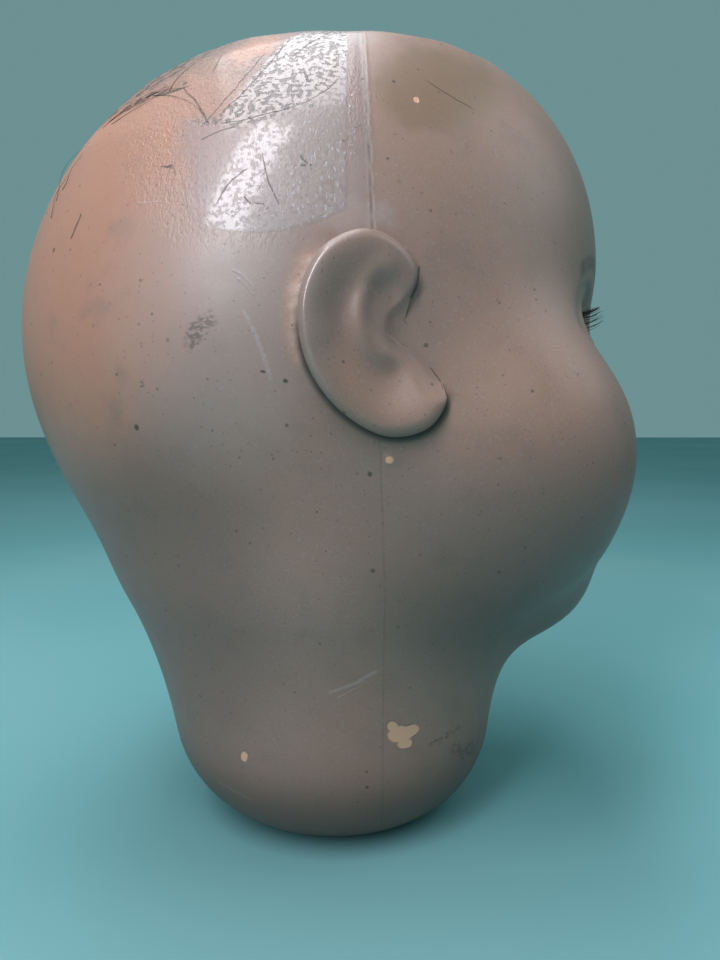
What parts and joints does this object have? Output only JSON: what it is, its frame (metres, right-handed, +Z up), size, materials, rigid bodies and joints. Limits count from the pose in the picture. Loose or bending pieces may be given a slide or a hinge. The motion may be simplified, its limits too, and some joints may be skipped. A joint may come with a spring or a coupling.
{
  "type": "celluloid doll head",
  "caption": "Hollow baby-doll head with moulded ears, open flat-cut crown, glass eyes with lashes, and a rounded neck seat with a hook hole.",
  "frame": {"origin": "centre of the bounding box at the flat seat ring under the neck", "axes": "+Z up from the neck seat to the crown, +X the way the face looks, +Y to the doll's left"},
  "size_m": [0.1335, 0.1254, 0.163],
  "materials": {
    "painted_celluloid": "brown skin paint over peach celluloid, worn, scratched and stained with old glue",
    "eye_glass": "polished glass eye, white with a grey-blue ring and a dark middle",
    "lash_hair": "black lash hair, matt"
  },
  "bodies": {
    "root": {"head_shell": "painted_celluloid", "eye_right": "eye_glass", "lash_right": "lash_hair", "eye_left": "eye_glass", "lash_left": "lash_hair"}
  },
  "joints": []
}
